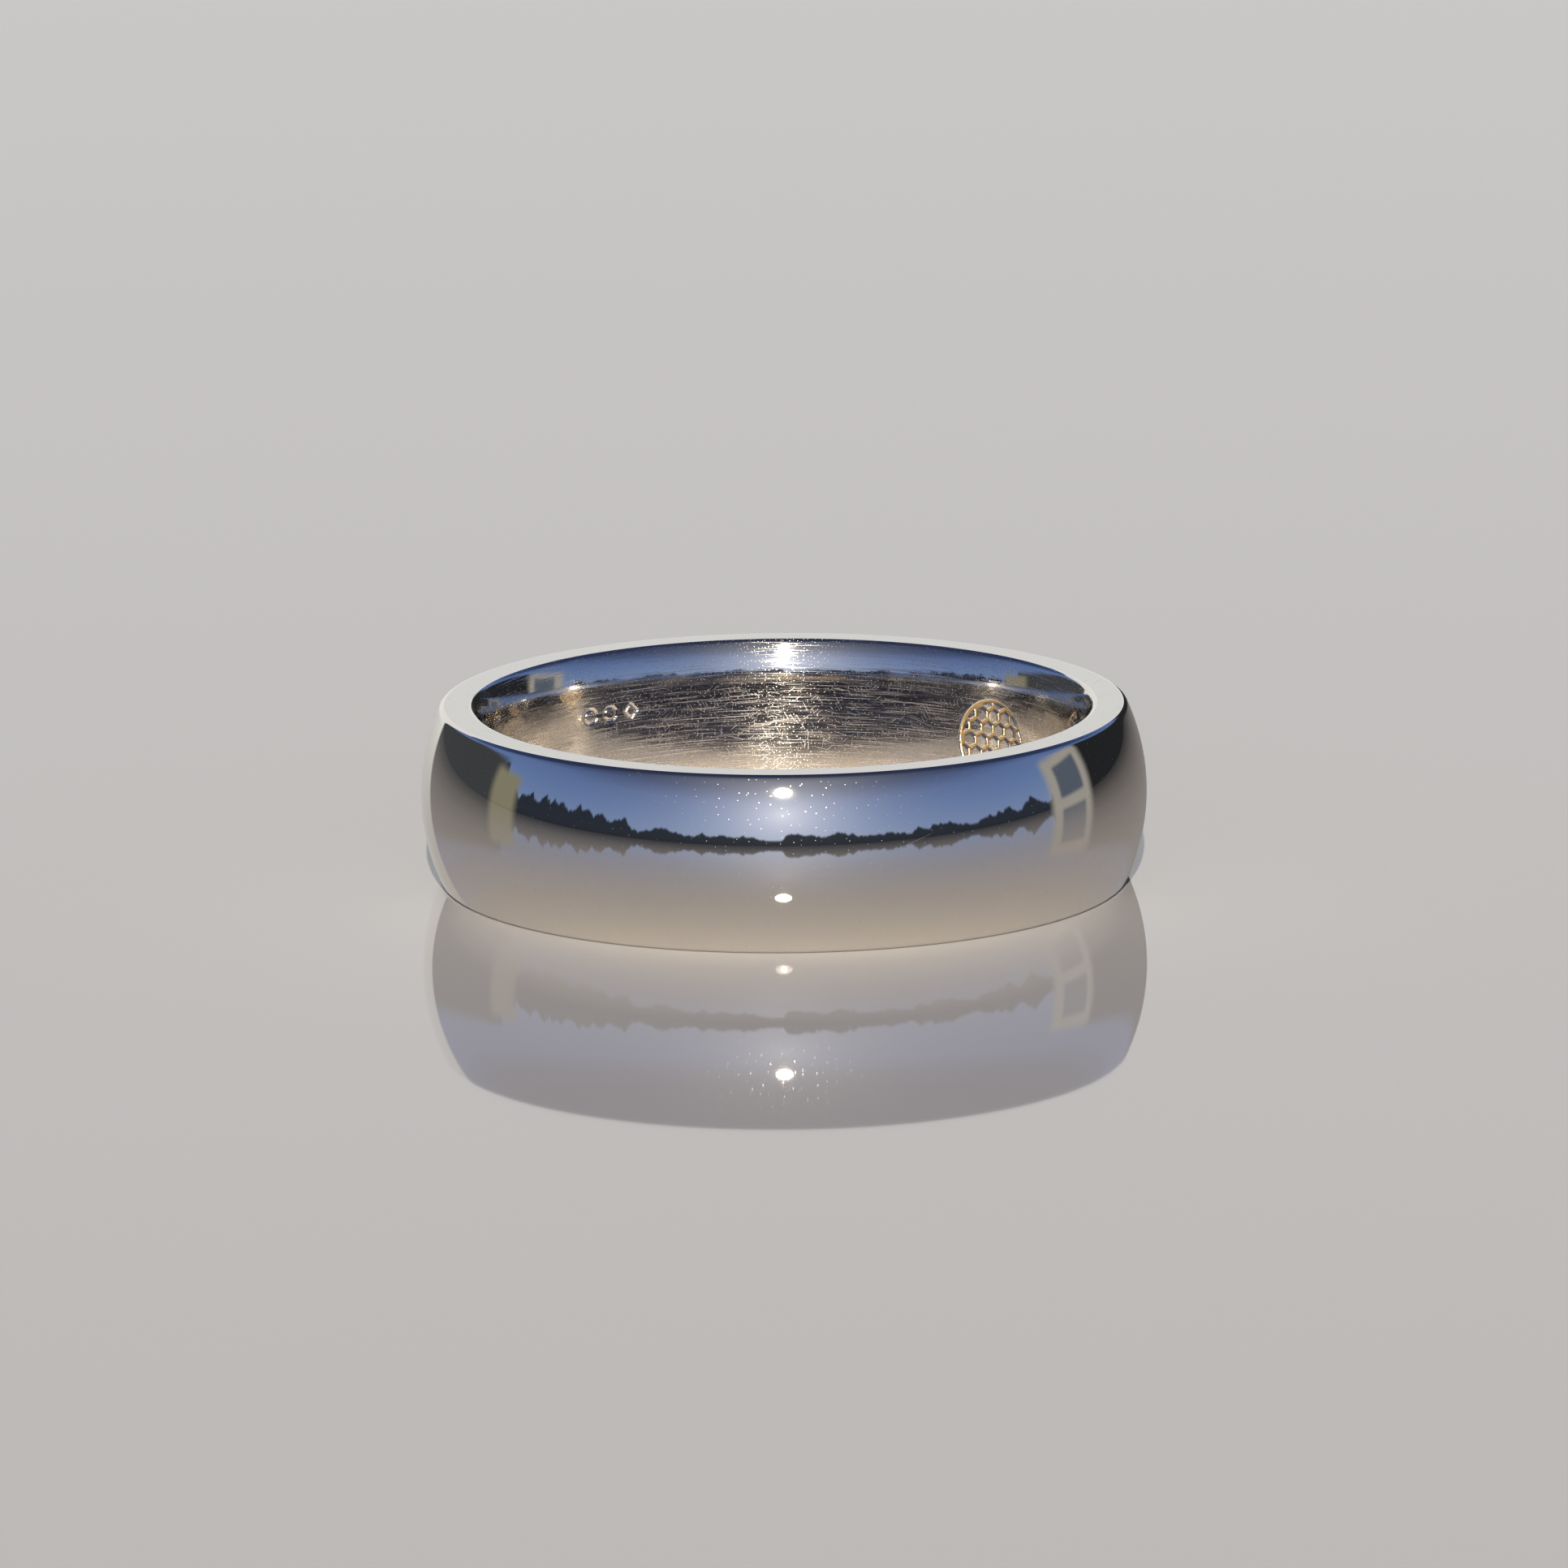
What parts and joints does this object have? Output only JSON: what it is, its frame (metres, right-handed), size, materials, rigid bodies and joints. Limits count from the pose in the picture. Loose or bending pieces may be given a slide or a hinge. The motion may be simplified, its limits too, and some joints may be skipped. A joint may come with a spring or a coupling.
{
  "type": "wedding band",
  "caption": "Plain finger ring with a domed outside, flat rims, a comfort-rounded bore and shallow engraved marks inside.",
  "frame": {"origin": "on the ring's axis, in the plane of the rim that the ring rests on", "axes": "+Z along the ring's axis, up from the rim it rests on; -Y towards the viewer, with both marks in the half of the bore that faces the viewer; +X to the viewer's right"},
  "size_m": [0.0244, 0.0244, 0.006],
  "materials": {
    "white_gold": "polished natural white gold, with hairline wear"
  },
  "bodies": {
    "root": {"band": "white_gold"}
  },
  "joints": []
}
